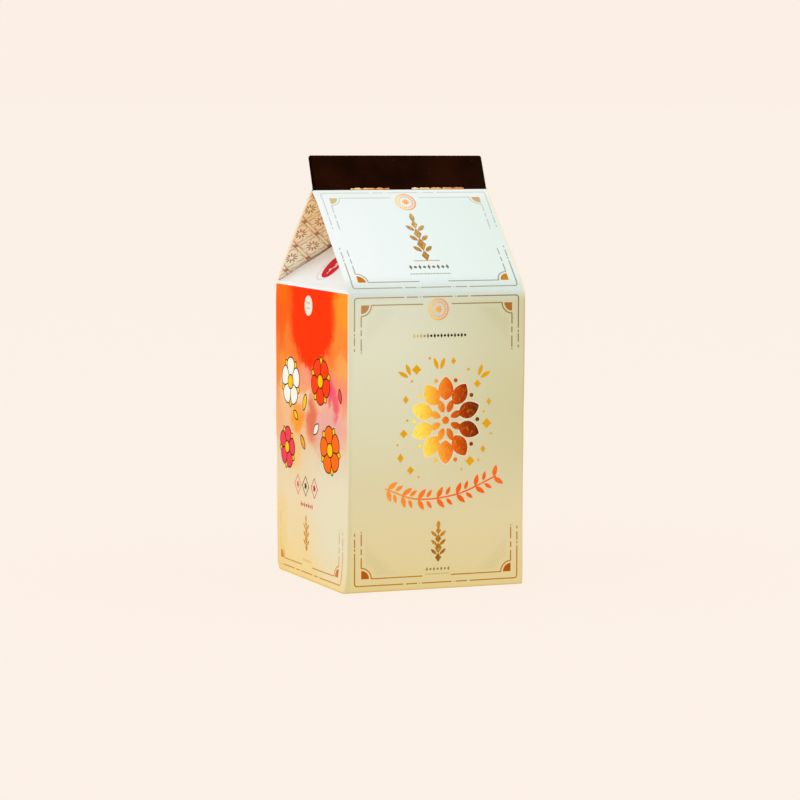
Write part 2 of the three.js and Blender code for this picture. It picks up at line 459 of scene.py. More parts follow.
# The tile print of the wings: a lattice turned by 45 degrees, with double lines on the tiles' edges, heavier one way,
# darker knots where they cross, a four-lobed outline in each tile and a flower of ten slim petals
def tilePrint(paint, inwardTerm, upTerm, cloud):
    x = (inwardTerm - tile["at"][0]) / tile["across"]
    y = (upTerm - tile["at"][1]) / tile["tall"]
    u = (((x + y) * 0.5 % 1.0) - 0.5) * tile["side"]  # from the tile's middle
    v = (((x - y) * 0.5 % 1.0) - 0.5) * tile["side"]
    edgeU, edgeV = tile["side"] / 2 - abs(u), tile["side"] / 2 - abs(v)
    lineU = 1 - abs(edgeU - tile["gap"]).ease(tile["line"], tile["line"] + 0.18)
    lineV = 1 - abs(edgeV - tile["gap"]).ease(tile["line"], tile["line"] + 0.18)
    knot = (1 - edgeU.most(edgeV).ease(0.6, 1.1)) * 0.8
    lobeU, lobeV = abs(u) - 1.96, abs(v) - 1.96
    lobe = abs((lobeU * lobeU + lobeV * lobeV).root() - 1.62)
    outline = (1 - lobe.ease(0.04, 0.3)) * (abs(u) + abs(v)).ease(3.0, 3.8)
    away = (u * u + v * v).root()
    spoke = (paint.maths("ARCTAN2", v, u) % (math.pi / 5)) - math.pi / 10
    aside, along = away * spoke.sine() / 0.3, (away - 1.65) / 0.95
    petal = 1 - (aside * aside + along * along).ease(0.55, 1.25)
    lines = (lineU * (0.85 - 0.4 * edgeV.ease(0.9, 2.4))).most(lineV * (0.65 - 0.3 * edgeU.ease(0.9, 2.4)))
    dark = lines.most(knot).most(petal * 0.85)
    height = (upTerm + (cloud - 0.5) * 14.0).ease(8.0, 40.0)
    ground = paint.mixed(height, tint(boardColours["tileGround"][1]), tint(boardColours["tileGround"][0]))
    ground = paint.mixed(outline * 0.7, ground, tint(boardColours["tileSoft"]))
    return paint.mixed(dark, ground, tint(boardColours["tileLine"]))


# The printed board: fields of colour chosen by the sheet place, with painted shade and highlights by its folds, in the
# gusset and under the bottom fold
def printedBoard():
    paint = Paint("printedBoard")
    place, p, b = paint.sheet()
    panel = ((p + half) / (2 * half)).floor()
    a = p - panel * (2 * half)
    odd = panel % 2.0
    cloud = paint.noise(place, 0.045, 3.0, 1.0)
    cloudTwo = paint.noise(place, 0.06, 3.0, 7.0)
    fibre = paint.noise(place, 1.7, 3.0, 3.0, 0.7)

    front = paint.ramp(b / bodyHeight, [(s, tint(c)) for s, c in boardColours["frontStops"]])
    front = paint.mixed(a.ease(-20, 34) * b.ease(24, 70), front, paint.mixed(1.0, front, tint(boardColours["frontRight"]), "MULTIPLY"))
    front = paint.mixed((1 - (a + half).ease(0.6, 2.4)) * 0.5, front, paint.mixed(1.0, front, tint(238, 244, 244), "MULTIPLY"))
    cornerX = 30.0 - abs(a)
    cornerY = (104.3 - b).least(b - 4.6)
    far = (cornerX * cornerX + cornerY * cornerY).root()
    dots = ((cornerX * 4.45 + cornerY * 6.3).sine() + (cornerX * 6.3 - cornerY * 4.45).sine()).ease(0.3, 1.5)
    spread = (1 - (cornerX + cornerY).ease(12.0, 18.5)) * far.ease(5.4, 7.0) * cornerX.ease(1.6, 2.4) * cornerY.ease(1.2, 2.0)
    front = paint.mixed(dots * spread * (0.57 - 0.27 * (1 - a.ease(-20, 0)) * b.ease(50, 60)), front, tint(boardColours["halftone"]))

    ragged = paint.noise(place, 0.2, 4.0, 11.0, 0.62)
    raggedTwo = paint.noise(place, 0.24, 4.0, 13.0, 0.62)
    warpA = a + (cloud - 0.5) * 7.0 + (ragged - 0.5) * 8.0
    warpB = b + (cloudTwo - 0.5) * 9.0 + (raggedTwo - 0.5) * 13.0
    side = paint.ramp(warpB / bodyHeight, [(s, tint(c)) for s, c in boardColours["sideStops"]])
    for x, y, rx, ry, colour, strength in boardColours["blots"]:
        dx, dy = (warpA - x) / rx, (warpB - y) / ry
        side = paint.mixed((1 - (dx * dx + dy * dy).ease(0.1, 1.5)) * strength, side, tint(colour))
    tongue = warpB.ease(70.0, 92.0) * 24.0 - 4.0 - abs(warpA - 1.2)
    side = paint.mixed(tongue.ease(-3.0, 3.5), side, tint(boardColours["washRed"]))
    side = paint.mixed((1 - (a + half).ease(0.3, 2.5)) * (1 - b.ease(50, 80)) * 0.5, side, tint(244, 200, 104))
    foot = paint.mixed(b.ease(-0.3, 0.5), tint(boardColours["sideRim"][1]), tint(boardColours["sideRim"][0]))
    side = paint.mixed((1 - b.ease(0.2, 1.2)) * 0.9, side, foot)
    streaks = paint.noise(paint.add("VectorMath", {"operation": "MULTIPLY"}, {0: place, 1: (1.0, 0.12, 1.0)}).outputs[0], 0.7, 3.0, 17.0)
    side = paint.mixed(0.2 + 0.5 * b.ease(30, 75), side, paint.mixed(1.0, side, paint.mixed(streaks, (0.9,) * 3, (1.08,) * 3), "MULTIPLY"))

    body = paint.mixed(odd, front, side)
    body = paint.mixed((1 - b.ease(0.1, 1.1)) * (1 - odd) * 0.75, body, tint(boardColours["rim"]))
    # painted shade on the bottom fold's underside, towards the floor
    body = paint.mixed((1 - b.ease(-0.5, 0.3)) * b.ease(-5.0, -1.0) * 0.75, body, tint(boardColours["paintedUndersideShade"]))
    # A pale band along the upright folds: partly ink worn off to the white board, partly a painted highlight on the
    # rounded fold
    fold = 1 - (half - abs(a)).ease(0.0, 0.5)
    foldTone = paint.mixed(b / bodyHeight, tint(228, 212, 164), tint(boardColours["foldWhite"]))
    body = paint.mixed(fold * 0.7, body, foldTone)
    # the front's right fold, and the back's likewise, show warmer board
    fromRight = abs(((p + half) % (4 * half)) - 2 * half)
    warm = paint.mixed(b / bodyHeight, tint(boardColours["foldWarm"][0]), tint(boardColours["foldWarm"][1]))
    body = paint.mixed((1 - fromRight.ease(0.3, 1.2)) * (0.3 + 0.6 * b / bodyHeight), body, warm)

    up = b - bodyHeight
    roof = paint.ramp((a + half) / (2 * half), [(s, tint(c)) for s, c in boardColours["roofStops"]])
    roof = paint.mixed(1 - up.ease(1.0, 9.0), roof, tint(boardColours["roofLow"]))
    roof = paint.mixed(up.ease(slope - 6, slope - 2), roof, tint(boardColours["roofTop"]))
    roof = paint.mixed((1 - (half - a).ease(0.4, 1.3)) * (0.85 - 0.2 * up / slope), roof, tint(252, 226, 156))
    wingIn = half - abs(a)
    wing = tilePrint(paint, wingIn, up, cloud)
    foldLine = wingIn - up * (half / slope)  # 0 on the gusset's fold, negative on the wing
    # painted shade on the wing along the gusset's fold, deeper higher up
    wing = paint.mixed(foldLine.ease(-2.0, -0.1) * (0.45 + 0.45 * up.ease(6.0, 20.0)), wing, tint(boardColours["foldShade"]))
    wing = paint.mixed((1 - wingIn.ease(0.6, 1.1)) * 0.9, wing, tint(255, 245, 222))
    gusset = paint.mixed(cloud.ease(0.3, 0.7), tint(boardColours["gusset"]), tint(246, 247, 245))
    # painted light: the gusset is whitened near its fold to make up for the shade of the recess
    gusset = paint.mixed((1 - foldLine.ease(1.0, 11.0)) * up.ease(4.0, 16.0), gusset, (1.0, 1.0, 1.0))
    gusset = paint.mixed(paint.noise(place, 0.9, 1.0, 21.0).ease(0.7, 0.76) * 0.35, gusset, tint(186, 184, 176))
    # painted shade on the gusset right at its fold, deeper higher up
    gusset = paint.mixed((1 - foldLine.ease(0.0, 0.6)) * (0.1 + 0.4 * up.ease(6.0, 20.0)), gusset, tint(150, 126, 92))
    gusset = paint.mixed(foldLine.ease(-0.15, 0.15), wing, gusset)
    upper = paint.mixed(odd, roof, gusset)
    soft = paint.mixed(odd, up.ease(-4.2, 0.2).link, up.ease(-0.25, 0.05).link)
    colour = paint.mixed(Term(paint, soft), body, upper)
    colour = paint.mixed(1.0, colour, paint.mixed(fibre, (1 - boardColours["grain"],) * 3, (1 + boardColours["grain"],) * 3), "MULTIPLY")
    pores = paint.noise(place, 4.0, 2.0, 5.0, 0.6)
    return paint.finish(colour=colour, roughness=0.36 + 0.12 * fibre, normal=paint.bump(pores + cloud * 2.0, 0.00002, 0.6), specular=0.004)


# Uncoated board, as its cut edges and the inside show it
def bareBoard():
    paint = Paint("bareBoard")
    place = paint.objectPlace()
    fibre = paint.noise(place, 2600.0, 3.0, 2.0, 0.7)
    colour = paint.mixed(fibre, tint(232, 222, 200), tint(246, 240, 224))
    return paint.finish(colour=colour, roughness=0.85, normal=paint.bump(fibre, 0.00004, 0.5))


# The fin's near-black foil: a dark metal with soft clouds, a few pale specks and fine scuffs
def darkFoil():
    paint = Paint("darkFoil")
    place, p, b = paint.sheet()
    cloud = paint.noise(place, 0.09, 3.0, 4.0)
    scuff = paint.noise(place, 1.3, 4.0, 6.0, 0.75)
    speck = paint.noise(place, 2.2, 1.0, 9.0).ease(0.77, 0.82)
    colour = paint.mixed(cloud.ease(0.3, 0.7), tint(24, 8, 2), tint(38, 14, 4))
    colour = paint.mixed(speck * 0.5, colour, tint(190, 150, 120))
    ends = (half - abs(((p + half) % (2 * half)) - half)).ease(0.2, 1.5)
    colour = paint.mixed(ends, tint(12, 4, 1), colour)
    return paint.finish(colour=colour, metallic=1.0, roughness=0.24 + 0.16 * scuff, normal=paint.bump(scuff + cloud * 3.0, 0.00003, 0.5))


# The dark cut edges of the fin's plies
def darkEdge():
    paint = Paint("darkEdge")
    fibre = paint.noise(paint.objectPlace(), 2200.0, 3.0, 8.0)
    colour = paint.mixed(fibre, tint(60, 34, 16), tint(108, 72, 42))
    return paint.finish(colour=colour, roughness=0.7)


# Places along one panel of the sheet: close together by its two folds, a plain step between
def spaced(low, high, step, fine=0.36, reach=2.16):
    near = fine * np.arange(int(round(reach / fine)))
    count = max(int(round((high - low - 2 * reach) / step)), 1)
    return np.concatenate([low + near, np.linspace(low + reach, high - reach, count + 1)[:-1], high - reach + near])


# The whole folded sheet, a grid of sheet places carried through the fold, with its slits, flaps and tab cut out
def makeSheet():
    columns = np.concatenate([
        spaced(-5 * half + carton["seam"], -3 * half, 2.5), spaced(-3 * half, -half, 0.88), spaced(-half, half, 2.5),
        spaced(half, 3 * half, 0.88), np.append(spaced(3 * half, 3 * half + carton["tabWidth"], 3.0), 3 * half + carton["tabWidth"]),
    ])
    rows = np.concatenate([
        np.interp(np.arange(13), (0, 2, 4, 12), (-39.0, -34.9, -29.6, -3.0)), [-2.2, -1.6, -1.2, -0.8, -0.4],
        spaced(0, bodyHeight, 2.4), spaced(bodyHeight, creaseB - 0.2, 0.8), creaseB + np.array([-0.2, 0.08, 0.5, 0.85, 1.6]),
        np.linspace(creaseB + 2.6, topB - 1.3, 6), topB - np.array([0.9, 0.6, 0.3, 0.1, 0]),
    ])
    p, b = np.meshgrid(columns, rows, indexing="ij")
    panel = np.clip(np.floor((p + half) / (2 * half)), -2, 2)
    nearFold = half - np.abs(((p + half) % (2 * half)) - half)  # distance to the nearest upright fold
    # The fin's corners are rounded, and its inner plies stop a hair lower
    finRound = np.where((p > 0) | (p < -4 * half), *carton["finRound"][::-1])
    shorter = finRound * (1 - np.sqrt(1 - np.clip(1 - nearFold / finRound, 0, 1) ** 2)) + 0.15 * (np.abs(panel) == 1)
    finShare = np.clip((b - creaseB) / carton["finLength"], 0, 1)
    fitted = b - shorter * finShare**3
    points = softFold(np.stack([p, fitted], -1)).reshape(-1, 3)
    n, m = p.shape
    index = np.arange(n * m).reshape(n, m)
    faces = np.stack([index[:-1, :-1], index[1:, :-1], index[1:, 1:], index[:-1, 1:]], -1)
    midP, midB = (p[1:, 1:] + p[:-1, :-1]) / 2, (b[1:, 1:] + b[:-1, :-1]) / 2
    midPanel = np.clip(np.floor((midP + half) / (2 * half)), -2, 2)
    foldAway = half - np.abs(((midP + half) % (2 * half)) - half)
    flap = np.select([midPanel == k for k in carton["flaps"]], list(carton["flaps"].values()))
    keep = (midB > -flap) & ~((midB < -0.8) & (foldAway < 0.95)) & ~((midPanel == 2) & (midB > topB - 0.8))
    keep &= (midB > 0) | (midP < 3 * half - 0.95)
    shown = faces[keep]
    used, back = np.unique(shown, return_inverse=True)
    shown = back.reshape(shown.shape)
    sheet = np.stack([p, b], -1).reshape(-1, 2)[used]
    piece = makePiece("cartonBlank", points[used], [shown], sheet, sharp=None)
    for material in (printedBoard(), darkFoil(), bareBoard(), darkEdge()):
        piece.data.materials.append(material)
    kinds = np.where(midPanel[keep] == 2, 2, np.where(midB[keep] > creaseB, 1, 0))
    piece.data.polygons.foreach_set("material_index", kinds.astype(np.int32))
    thick = piece.modifiers.new("board", "SOLIDIFY")
    thick.thickness = carton["board"] * 0.001
    thick.offset = -1.0
    thick.material_offset = thick.material_offset_rim = 2
    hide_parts("carton")
    return piece


blank = makeSheet()
print("sheet folded:", len(blank.data.polygons), "faces")


# Gathers the flat pieces of one print, in sheet places, and lays them on the carton as one mesh
class PrintLayer:
    def __init__(self, top=0.035, foot=-0.06):
        self.top, self.foot = top, foot
        self.points, self.faces, self.tones, self.count = [], [], [], 0

    # shapes is (number, points, 3) with one set of faces for all; tone is one colour, or a function of the places
    def take(self, shapes, faces, tone):
        number, size = shapes.shape[:2]
        starts = self.count + size * np.arange(number)
        for group in faces:
            self.faces.append((group[None] + starts[:, None, None]).reshape(-1, group.shape[1]))
        flat = shapes.reshape(-1, 3)
        self.points.append(flat)
        self.tones.append(tone(flat) if callable(tone) else np.broadcast_to(tint(tone), (len(flat), 3)))
        self.count += number * size

    # Closed flat plates: a fan from each centre to its outline, a wall round it and a fan below. Inner loops keep
    # a wide plate on the board's curve.
    def plates(self, outlines, centres, tone, lift=0.0, loops=()):
        outlines, centres = np.asarray(outlines, float), np.asarray(centres, float)
        number, n = outlines.shape[:2]
        middle = centres[:, None]
        rings = [middle + (outlines - middle) * share for share in (*loops, 1.0)]
        raised = [self.atHeight(ring, self.top + lift) for ring in rings]
        shapes = np.concatenate(
            [self.atHeight(middle, self.top + lift), *raised, self.atHeight(outlines, self.foot), self.atHeight(middle, self.foot)], 1)
        i = np.arange(n)
        j = (i + 1) % n
        k = len(rings)
        last = 1 + k * n
        fans = np.concatenate([np.stack([0 * i, 1 + i, 1 + j], -1), np.stack([0 * i + last + n, last + j, last + i], -1)])
        walls = [np.stack([1 + r * n + i, 1 + (r + 1) * n + i, 1 + (r + 1) * n + j, 1 + r * n + j], -1) for r in range(k)]
        self.take(shapes, [fans, np.concatenate(walls)], tone)

    # Closed flat ribbons of four corners carried along paths of (number, points, 2), round and round where closed
    def ribbons(self, paths, width, tone, lift=0.0, closed=False):
        paths = np.asarray(paths, float)
        number, k = paths.shape[:2]
        if closed:
            along = np.roll(paths, -1, 1) - np.roll(paths, 1, 1)
        else:
            along = np.gradient(paths, axis=1)
        along = along / np.linalg.norm(along, axis=-1, keepdims=True)
        aside = np.stack([-along[..., 1], along[..., 0]], -1) * np.asarray(width, float).reshape(-1, 1, 1) / 2
        left, right = paths + aside, paths - aside
        corners = [self.atHeight(right, self.top + lift), self.atHeight(left, self.top + lift),
                   self.atHeight(left, self.foot), self.atHeight(right, self.foot)]
        shapes = np.stack(corners, 2).reshape(number, k * 4, 3)
        steps = np.arange(k if closed else k - 1)
        nxt = (steps + 1) % k
        c = np.arange(4)
        d = (c + 1) % 4
        quads = np.stack([steps[:, None] * 4 + c, nxt[:, None] * 4 + c, nxt[:, None] * 4 + d, steps[:, None] * 4 + d], -1).reshape(-1, 4)
        if not closed:
            quads = np.concatenate([quads, [[0, 1, 2, 3]], [[4 * k - 1, 4 * k - 2, 4 * k - 3, 4 * k - 4]]])
        self.take(shapes, [quads], tone)

    def atHeight(self, flat, height):
        return np.concatenate([flat, np.full(flat.shape[:-1] + (1,), height)], -1)

    def lay(self, name, material):
        places = np.concatenate(self.points)
        piece = makePiece(name, laidOn(places), self.faces, places, np.concatenate(self.tones))
        piece.data.materials.append(material)
        print(name, "laid:", len(piece.data.polygons), "faces")
        return piece


# Outlines round (0, 0), as (points, 2), anticlockwise

# A circle or a ring of lobes: the radius swings by depth, count times round
def lobed(radius, count=0, depth=0.0, points=24, power=1.0):
    angle = np.linspace(0, 2 * np.pi, points, endpoint=False)
    swing = np.abs(np.cos(angle * count / 2)) ** power if count else 1.0
    r = radius * (1 - depth + depth * swing)
    return np.stack([r * np.cos(angle), r * np.sin(angle)], -1)


# A pointed oval along x: half width times (1 - u squared) to a power, a bit fuller behind
def almond(length, width, points=20, fullness=0.8, lean=0.0):
    u = -np.cos(np.linspace(0, np.pi, points // 2 + 1))
    w = width / 2 * (1 - u * u) ** fullness * (1 - lean * u)
    return np.concatenate([np.stack([u * length / 2, -w], -1)[:-1], np.stack([u * length / 2, w], -1)[:0:-1]])


# A four-pointed spark: cosine and sine cubed
def spark(radius, points=24, waist=3.0):
    angle = np.linspace(0, 2 * np.pi, points, endpoint=False)
    c, s = np.cos(angle), np.sin(angle)
    return radius * np.stack([np.sign(c) * np.abs(c) ** waist, np.sign(s) * np.abs(s) ** waist], -1)


# One outline put at several places, turned and scaled there
def repeated(outline, places, turns=0.0, scales=1.0):
    places = np.asarray(places, float).reshape(-1, 2)
    turns = np.broadcast_to(np.asarray(turns, float), len(places))
    scales = np.broadcast_to(np.asarray(scales, float), len(places))
    c, s = np.cos(turns)[:, None], np.sin(turns)[:, None]
    x, y = outline[:, 0] * scales[:, None], outline[:, 1] * scales[:, None]
    return np.stack([x * c - y * s, x * s + y * c], -1) + places[:, None], places


# Copper foil that takes its tint from the Ink attribute; crush is how strongly its creases break it up, their facets
# painted lighter and darker as a painted reflection
def copperFoil(name, crush, roughness=0.3):
    paint = Paint(name)
    place, p, b = paint.sheet()
    ink = paint.add("Attribute", {"attribute_name": "Ink"}).outputs["Color"]
    slanted = paint.add("CombineXYZ", None, {0: p * 0.9 - b * 0.3, 1: p * 0.12 + b * 0.3}).outputs[0]
    creases = paint.noise(slanted, 1.5, 2.0, 6.0, 0.6)
    cloud = paint.noise(place, 0.8, 3.0, 2.0)
    shade = (creases - 0.5) * (crush * 3.0) + (cloud - 0.5) * crush
    # painted reflection: crease facets lightened towards pale gold where the shade is high, darkened towards brown
    # where it is low
    colour = paint.mixed(shade.ease(0.0, 0.6), ink, paint.mixed(0.5, ink, tint(255, 214, 96)))
    colour = paint.mixed((-shade).ease(0.0, 0.6), colour, paint.mixed(1.0, colour, tint(244, 190, 130), "MULTIPLY"))
    scuff = paint.noise(place, 2.5, 3.0, 5.0, 0.7)
    normal = paint.bump(creases * crush + scuff * 0.4, 0.00006, 0.5)
    return paint.finish(colour=colour, metallic=1.0, roughness=roughness + 0.14 * scuff, normal=normal)


# Flat printing ink from the Ink attribute, with a little cloud in it
def flatInk(name, roughness=0.4):
    paint = Paint(name)
    place, p, b = paint.sheet()
    ink = paint.add("Attribute", {"attribute_name": "Ink"}).outputs["Color"]
    cloud = paint.noise(place, 0.5, 3.0, 3.0)
    fibre = paint.noise(place, 2.0, 2.0, 1.0)
    colour = paint.mixed(1.0, ink, paint.mixed(cloud, (0.93,) * 3, (1.06,) * 3), "MULTIPLY")
    return paint.finish(colour=colour, roughness=roughness + 0.1 * fibre, normal=paint.bump(fibre, 0.00001, 0.4), specular=0.01)


border = {
    "line": 0.42, "level": 0.38,  # widths of the upright and the level lines, mm
    "cornerRadius": 1.05, "sector": 3.05, "arc": 3.95,
    # half width and the lines' places up the sheet, then the lines' tones in the corners, with the foil's reflection
    # painted in: low left and right, high left and right
    # askew: how far the print is shifted and by what share it's widened at its top, and how its low and high corners are stretched
    "front": {"outer": (32.3, 2.42, 106.95), "inner": (29.75, 5.0, 104.3), "middle": 0.16, "askew": (-0.36, 0.0, 1.0, 1.0),
              "lines": (((192, 120, 2), (192, 122, 4)), ((186, 158, 112), (146, 122, 72)))},
    "roof": {"outer": (32.21, 110.98, 157.3), "inner": (29.53, 113.75, 154.57), "middle": -0.02, "askew": (0.32, 0.0135, 1.02, 0.91),
             "lines": (((168, 152, 124), (158, 150, 124)), ((206, 212, 206), (208, 212, 200)))},
    "side": {"outer": (32.6, 2.5, 30.0), "inner": (29.4, 5.0, 30.0), "middle": -1.5, "askew": (0.0, 0.0, 1.0, 1.0),
             "lines": (((204, 132, 18), (204, 132, 22)), ((226, 190, 130), (222, 186, 130)))},
    # stretches of the level lines between the corners
    "levelOuter": ((-99, -13.15), (-12.1, -7.7), (-6.9, -6.6), (-5.85, 6.0), (6.85, 7.15), (7.75, 12.2), (13.25, 99)),
    "levelInner": ((-99, -5.7), (5.7, 99)),
    "sideLevelOuter": ((-99, -14.5), (-12.9, -9.2), (-7.4, 4.0), (5.8, 9.9), (11.4, 99)),
    "sideLevelInner": ((-99, -7.5), (3.5, 99)),
    # stretches of the upright lines, from the nearest corner's level line
    "uprightOuter": ((0, 12.05), (12.8, 13.7), (14.1, 17.2), (18.3, 19.3)),
    "uprightInner": ((0, 7.8), (8.9, 11.0), (12.2, 16.4), (16.9, 17.3)),
    "lowRoofInner": ((0, 7.8), (8.9, 11.0), (12.2, 15.2)),
    # the corner sectors' tones, with the foil's reflection painted in
    "sectorTones": {"front": ((183, 92, 9), (179, 91, 13), (187, 140, 88), (177, 110, 40)),
                    "roof": ((200, 115, 10), (195, 128, 20), (214, 184, 128), (203, 168, 119)),
                    "side": ((214, 140, 24), (208, 120, 16))},
}


# The lines' tint, blended across and up between the tones of the panel's four corners, which paint in the foil's
# reflection. By a side panel's back fold it's lost in the light that the board throws back there.
def cornerBlend(kind, middle):
    (lowLeft, lowRight), (highLeft, highRight) = tint(np.array(border[kind]["lines"]))
    low, high = border[kind]["outer"][1:]

    def tone(places):
        a = places[:, :1] - middle
        across = np.clip(a / (2 * half) + 0.5, 0, 1)
        up = np.clip((places[:, 1:2] - low) / (high - low), 0, 1)
        mixed = (lowLeft * (1 - across) + lowRight * across) * (1 - up) + (highLeft * (1 - across) + highRight * across) * up
        lost = eased(-a, 26.5, 29.5) * (kind == "side") * (places[:, 0:1] < 0)
        return mixed * (1 - lost) + tint(240, 206, 140) * lost

    return tone


# A straight run of points between two sheet places, about 2 mm apart
def straight(start, end):
    start, end = np.asarray(start, float), np.asarray(end, float)
    count = max(int(np.linalg.norm(end - start) / 2), 1) + 1
    return start + (end - start) * np.linspace(0, 1, count)[:, None]


# A quarter circle of points round a centre, from one angle to another in degrees
def quarter(centre, radius, start, end, points=9):
    angle = np.radians(np.linspace(start, end, points))
    return np.asarray(centre, float) + radius * np.stack([np.cos(angle), np.sin(angle)], -1)


# One panel's printed border. Every corner is worked out as the first and mirrored by its signs.
def layBorder(layer, kind, panelMiddle, upper=True):
    size = border[kind]
    outerHalf, outerLow, outerHigh = size["outer"]
    innerHalf, innerLow, innerHigh = size["inner"]
    middle = panelMiddle + size["middle"]
    level = "sideLevel" if kind == "side" else "level"
    tones, lineTone = border["sectorTones"][kind], cornerBlend(kind, panelMiddle)
    corners = [(sx, sy) for sy in ((-1, 1) if upper else (-1,)) for sx in (-1, 1)]
    lean, flare, *stretch = size["askew"]

    def askew(places):
        share = (places[:, 1:] - outerLow) / (outerHigh - outerLow)
        a = (places[:, :1] - middle) * (1 + flare * share) + lean * share
        level, by = np.where(share > 0.5, outerHigh, outerLow), np.where(share > 0.5, stretch[1], stretch[0])
        return np.concatenate([a + middle, level + (places[:, 1:] - level) * by], -1)[None]

    for (sx, sy), tone in zip(corners, tones):
        outerB = outerLow if sy < 0 else outerHigh
        innerB = innerLow if sy < 0 else innerHigh
        r, arc = border["cornerRadius"], border["arc"]
        flip = np.array([sx, sy])

        def put(points):
            return askew(np.array([middle, 0]) + np.asarray(points) * flip)

        upOuter, upInner = outerB * sy, innerB * sy  # mirrored upwards, so that the corner is always up and right
        layer.ribbons(put(quarter((outerHalf - r, upOuter - r), r, 0, 90)), border["line"], lineTone)
        layer.ribbons(put(quarter((innerHalf, upInner), arc, 180, 270, 13)), border["line"], lineTone)
        for low, high in border["uprightOuter"]:
            layer.ribbons(put(straight((outerHalf, upOuter - max(low, r)), (outerHalf, upOuter - high))), border["line"], lineTone)
        for low, high in border["lowRoofInner" if kind == "roof" and sy < 0 else "uprightInner"]:
            layer.ribbons(put(straight((innerHalf, upInner - max(low, arc)), (innerHalf, upInner - high))), border["line"], lineTone)
        cut = border["sector"]
        outline = np.concatenate([[(innerHalf, upInner)], quarter((innerHalf, upInner), cut, 180, 270, 9)])
        outline = put(outline)[0]
        if sx * sy < 0:
            outline = outline[::-1]
        centre = put([(innerHalf - cut * 0.4, upInner - cut * 0.4)])[0]
        layer.plates(outline[None], centre, tone)
    for sy in (-1, 1) if upper else (-1,):
        outerB, innerB = (outerLow, innerLow) if sy < 0 else (outerHigh, innerHigh)
        for low, high in border[level + "Outer"]:
            ends = np.clip([low, high], -outerHalf + border["cornerRadius"], outerHalf - border["cornerRadius"])
            layer.ribbons(askew(straight((middle + ends[0], outerB), (middle + ends[1], outerB))), border["level"], lineTone)
        for low, high in border[level + "Inner"]:
            ends = np.clip([low, high], -innerHalf + border["arc"], innerHalf - border["arc"])
            layer.ribbons(askew(straight((middle + ends[0], innerB), (middle + ends[1], innerB))), border["level"], lineTone)


frontMiddles, sideMiddles = (0.0, -4 * half), (-2 * half, 2 * half)
borderLayer = PrintLayer()
for middle in frontMiddles:
    layBorder(borderLayer, "front", middle)
    layBorder(borderLayer, "roof", middle)
for middle in sideMiddles:
    layBorder(borderLayer, "side", middle, upper=False)
borderLayer.lay("borderFoil", copperFoil("borderCopper", 0.25))

# The ring seals: a rim, a wreath of short dashes and a star
seal = {
    "frontAt": (0.25, 102.36), "roofAt": (0.17, 152.6), "radius": 4.0, "rim": 0.5, "wreath": (2.3, 3.15), "dashes": 22,
    "star": 1.5, "left": (255, 216, 104), "right": (238, 148, 78), "grounds": ((208, 212, 196), (229, 235, 230)),
}


# A tint that runs across the panel from one colour to another, between two distances from its middle
def acrossTone(middle, low, high, *colours):
    stops = np.linspace(low, high, len(colours))
    linear = tint(np.array(colours))

    def tone(places):
        a = places[:, 0] - middle
        return np.stack([np.interp(a, stops, linear[:, k]) for k in range(3)], -1)

    return tone


sealLayer, sealGround = PrintLayer(top=0.05), PrintLayer(top=0.03)
for middle in frontMiddles:
    for at, ground in zip((seal["frontAt"], seal["roofAt"]), seal["grounds"]):
        centre = np.array([[middle + at[0], at[1]]])
        # the foil's reflection painted into its tint, light on the left and darker to the right
        tone = acrossTone(centre[0, 0], -seal["radius"], seal["radius"], seal["left"], (250, 176, 84), seal["right"])
        circle, _ = repeated(lobed(seal["radius"] - seal["rim"] / 2, points=48), centre)
        sealLayer.ribbons(circle, seal["rim"], tone, closed=True)
        angles = np.linspace(0, 2 * np.pi, seal["dashes"], endpoint=False)
        ray = np.stack([np.cos(angles), np.sin(angles)], -1)
        wreath = np.stack([centre + ray * seal["wreath"][0], centre + ray * seal["wreath"][1]], 1)
        sealLayer.ribbons(wreath, 0.42, tone)
        star, spot = repeated(lobed(seal["star"], 8, 0.45, 32), centre)
        sealLayer.plates(star, spot, tone)
        disc, spot = repeated(lobed(seal["radius"] - 0.2, points=36), centre)
        sealGround.plates(disc, spot, ground, loops=(0.5,))
sealLayer.lay("sealFoil", copperFoil("sealCopper", 0.3))
sealGround.lay("sealGround", flatInk("sealInk"))

# The front's foil rosette of almond petals, with the garland under it and small flat-gold motifs round it
rosette = {
    "at": (3.2, 61.8), "width": 13.6, "height": 16.4,
    "outer": 10, "inner": 8, "keyline": 0.4,
    "tones": ((255, 238, 104), (255, 214, 78), (250, 146, 46), (226, 98, 22), (166, 58, 10), (92, 30, 8)),
    "keyTone": (228, 222, 192),
}
garland = {
    "curve": ((-20.4, 37.6), (-8.0, 33.4), (8.0, 34.6), (23.6, 40.6)),
    "leaves": 13, "leaf": (4.6, 1.9), "stem": 0.55,
    "tones": ((252, 160, 66), (250, 124, 40), (246, 96, 26), (250, 108, 34)),
}
motifs = {
    "tone": (226, 162, 18),
    "sparks": ((-8.4, 80.6, 1.9), (15.8, 74.8, 1.5), (19.6, 60.2, 2.0), (-13.4, 57.4, 1.6), (13.0, 46.6, 1.9), (-10.6, 44.0, 1.5)),
    "lozenges": ((-12.6, 69.8, 1.5), (20.4, 68.2, 1.3), (-14.6, 48.6, 1.7), (18.2, 50.8, 1.4), (6.2, 83.4, 1.3)),
    "dots": ((-10.2, 76.4, 0.45), (12.2, 80.2, 0.5), (18.4, 64.6, 0.4), (-12.0, 62.2, 0.45), (-15.8, 53.4, 0.4), (16.4, 46.8, 0.45),
             (9.6, 43.6, 0.4), (-7.4, 41.4, 0.4), (-3.2, 84.6, 0.5), (21.4, 56.4, 0.4)),
    "sprigs": ((0.6, 82.6, 1.57), (-12.6, 79.8, 2.3), (18.0, 79.0, 0.85)),
}


